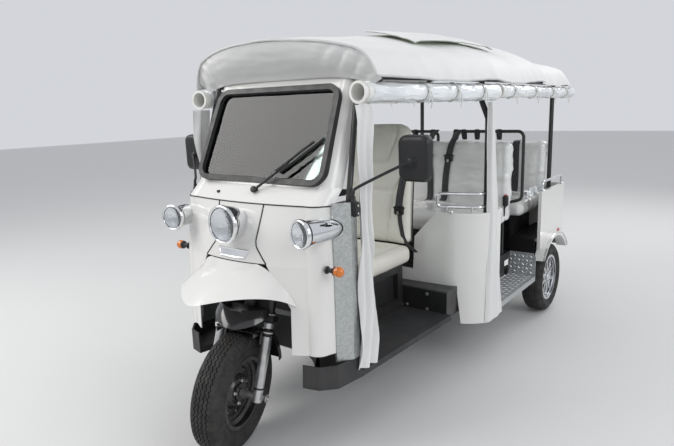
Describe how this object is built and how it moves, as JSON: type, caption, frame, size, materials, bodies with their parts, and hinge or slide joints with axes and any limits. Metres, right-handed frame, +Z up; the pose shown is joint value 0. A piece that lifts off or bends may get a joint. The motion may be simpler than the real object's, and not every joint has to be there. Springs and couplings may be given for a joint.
{
  "type": "auto rickshaw",
  "caption": "Open-sided passenger rickshaw with one steered front wheel, round headlamps, a driver's seat, two padded benches and an arched canvas roof.",
  "frame": {"origin": "middle of the bounding box in plan, at the ground", "axes": "+Z up, -Y to the nose, +X to the vehicle's own left"},
  "size_m": [1.552, 3.4238, 1.9723],
  "materials": {
    "white_paint": "gloss",
    "black_paint": "satin",
    "axle_steel": "oiled",
    "galvanised": "spangled",
    "checker_plate": "rolled",
    "floor_mat": "ribbed",
    "tyre_rubber": "matte",
    "black_rim": "gloss",
    "alloy_rim": "polished",
    "fork_alloy": "brushed",
    "chrome_trim": "mirror",
    "lamp_glass": "fluted",
    "window_glass": "clear",
    "black_rubber": "satin",
    "black_plastic": "moulded",
    "guard_plastic": "gloss",
    "amber_plastic": "clear",
    "red_plastic": "clear",
    "seat_leather": "soft",
    "bench_fabric": "wrapped in film",
    "roof_canvas": "coated canvas",
    "clear_film": "rolled film",
    "white_pipe": "satin"
  },
  "bodies": {
    "chassis": {"battery_box": "black_paint", "bench_backs": "bench_fabric", "bench_bases": "black_paint", "bench_cushions": "bench_fabric", "bench_hoops": "black_paint", "bulkhead_panels": "white_paint", "canvas_strips": "roof_canvas", "chassis_frame": "black_paint", "curtain_pipes": "white_pipe", "curtain_rolls": "clear_film", "dashboard": "black_plastic", "driver_seat_base": "black_paint", "driver_seat_pads": "seat_leather", "floor_pan": "floor_mat", "front_frame_posts": "galvanised", "front_panel": "white_paint", "front_side_panels": "white_paint", "grab_rails": "chrome_trim", "headlamp_lenses": "lamp_glass", "headlamp_shells": "chrome_trim", "mirrors": "black_plastic", "nose_fender": "white_paint", "rear_axle": "axle_steel", "rear_side_panels": "white_paint", "rear_springs": "axle_steel", "roof_canvas": "roof_canvas", "roof_frame": "black_paint", "steps_and_houses": "checker_plate", "tail_lamps": "red_plastic", "tail_panel": "white_paint", "turn_signals": "amber_plastic", "visor_canvas": "roof_canvas", "windscreen_glass": "window_glass", "windscreen_seal": "black_rubber", "windscreen_surround": "white_paint", "wiper": "black_plastic"},
    "steering": {"fork_frame": "black_paint", "fork_sliders": "fork_alloy", "front_mudguard": "guard_plastic"},
    "front_wheel": {"front_tyre": "tyre_rubber", "front_rim": "black_rim"},
    "rear_wheel_left": {"rear_tyre_left": "tyre_rubber", "rear_rim_left": "alloy_rim"},
    "rear_wheel_right": {"rear_tyre_right": "tyre_rubber", "rear_rim_right": "alloy_rim"}
  },
  "joints": [
    {"name": "steering_turn", "type": "hinge", "parent": "chassis", "child": "steering", "pos_m": [0, -1.40694, 0.27932], "axis": [0, 0.309, 0.9511], "range_deg": [-51, 19]},
    {"name": "front_wheel_spin", "type": "hinge", "parent": "steering", "child": "front_wheel", "pos_m": [0.00786, -1.43589, 0.27898], "axis": [0.9613, 0.2621, -0.0852], "continuous": true},
    {"name": "rear_wheel_left_spin", "type": "hinge", "parent": "chassis", "child": "rear_wheel_left", "pos_m": [0.6, 1.17306, 0.25734], "axis": [1, 0, 0], "continuous": true},
    {"name": "rear_wheel_right_spin", "type": "hinge", "parent": "chassis", "child": "rear_wheel_right", "pos_m": [-0.6, 1.17306, 0.25734], "axis": [1, 0, 0], "continuous": true}
  ]
}
